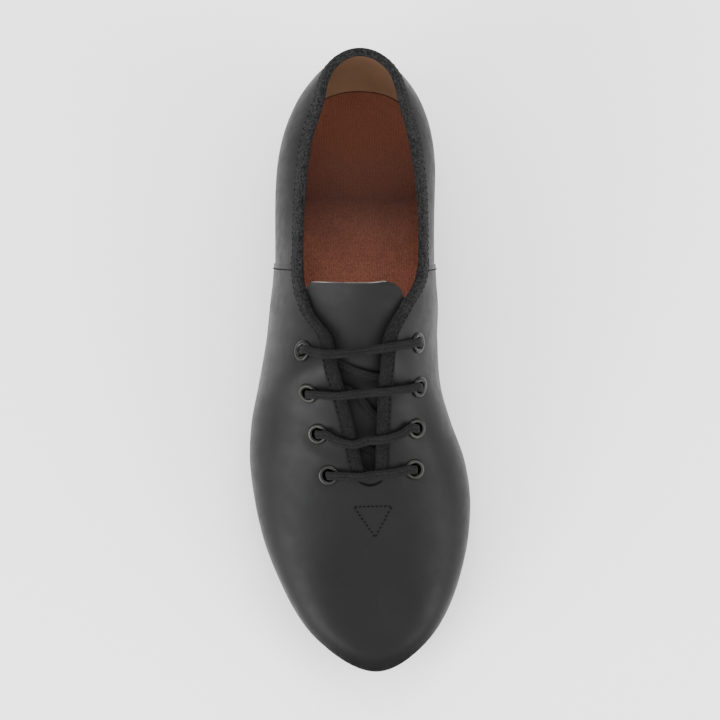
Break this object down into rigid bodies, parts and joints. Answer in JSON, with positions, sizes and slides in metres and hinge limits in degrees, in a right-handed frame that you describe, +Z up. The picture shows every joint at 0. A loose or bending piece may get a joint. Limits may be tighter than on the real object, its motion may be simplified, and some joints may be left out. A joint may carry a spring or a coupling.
{
  "type": "tap shoe",
  "caption": "Right low-cut lace-up tap shoe: leather upper with bound collar and throat, low heel, metal toe and heel taps.",
  "frame": {"origin": "under the middle of the whole shoe, on the ground", "axes": "+Y from toe to heel, +X to the medial side (the big toe side of a right shoe), +Z up"},
  "size_m": [0.0986, 0.2716, 0.0902],
  "materials": {
    "upper_leather": "smooth satin black",
    "cotton_tape": "matte woven tape",
    "lace_cotton": "matte flat woven lace",
    "sock": "red-brown lining leather",
    "outsole_leather": "dyed black edge",
    "heel_stack": "satin black",
    "eyelet_metal": "gunmetal",
    "tap_metal": "cast, lightly brushed",
    "screw_steel": "plated"
  },
  "bodies": {
    "root": {"outsole": "outsole_leather", "insole": "sock", "upper": "upper_leather", "binding": "cotton_tape", "tongue": "upper_leather", "heel": "heel_stack", "toe_tap": "tap_metal", "heel_tap": "tap_metal", "toe_screw_1": "screw_steel", "toe_screw_2": "screw_steel", "toe_screw_3": "screw_steel", "heel_screw_1": "screw_steel", "heel_screw_2": "screw_steel", "heel_screw_3": "screw_steel", "eyelet_lateral_1": "eyelet_metal", "eyelet_medial_1": "eyelet_metal", "eyelet_lateral_2": "eyelet_metal", "eyelet_medial_2": "eyelet_metal", "eyelet_lateral_3": "eyelet_metal", "eyelet_medial_3": "eyelet_metal", "eyelet_lateral_4": "eyelet_metal", "eyelet_medial_4": "eyelet_metal", "lace_bar_1": "lace_cotton", "lace_bar_2": "lace_cotton", "lace_bar_3": "lace_cotton", "lace_bar_4": "lace_cotton", "lace_crossings": "lace_cotton"}
  },
  "joints": []
}
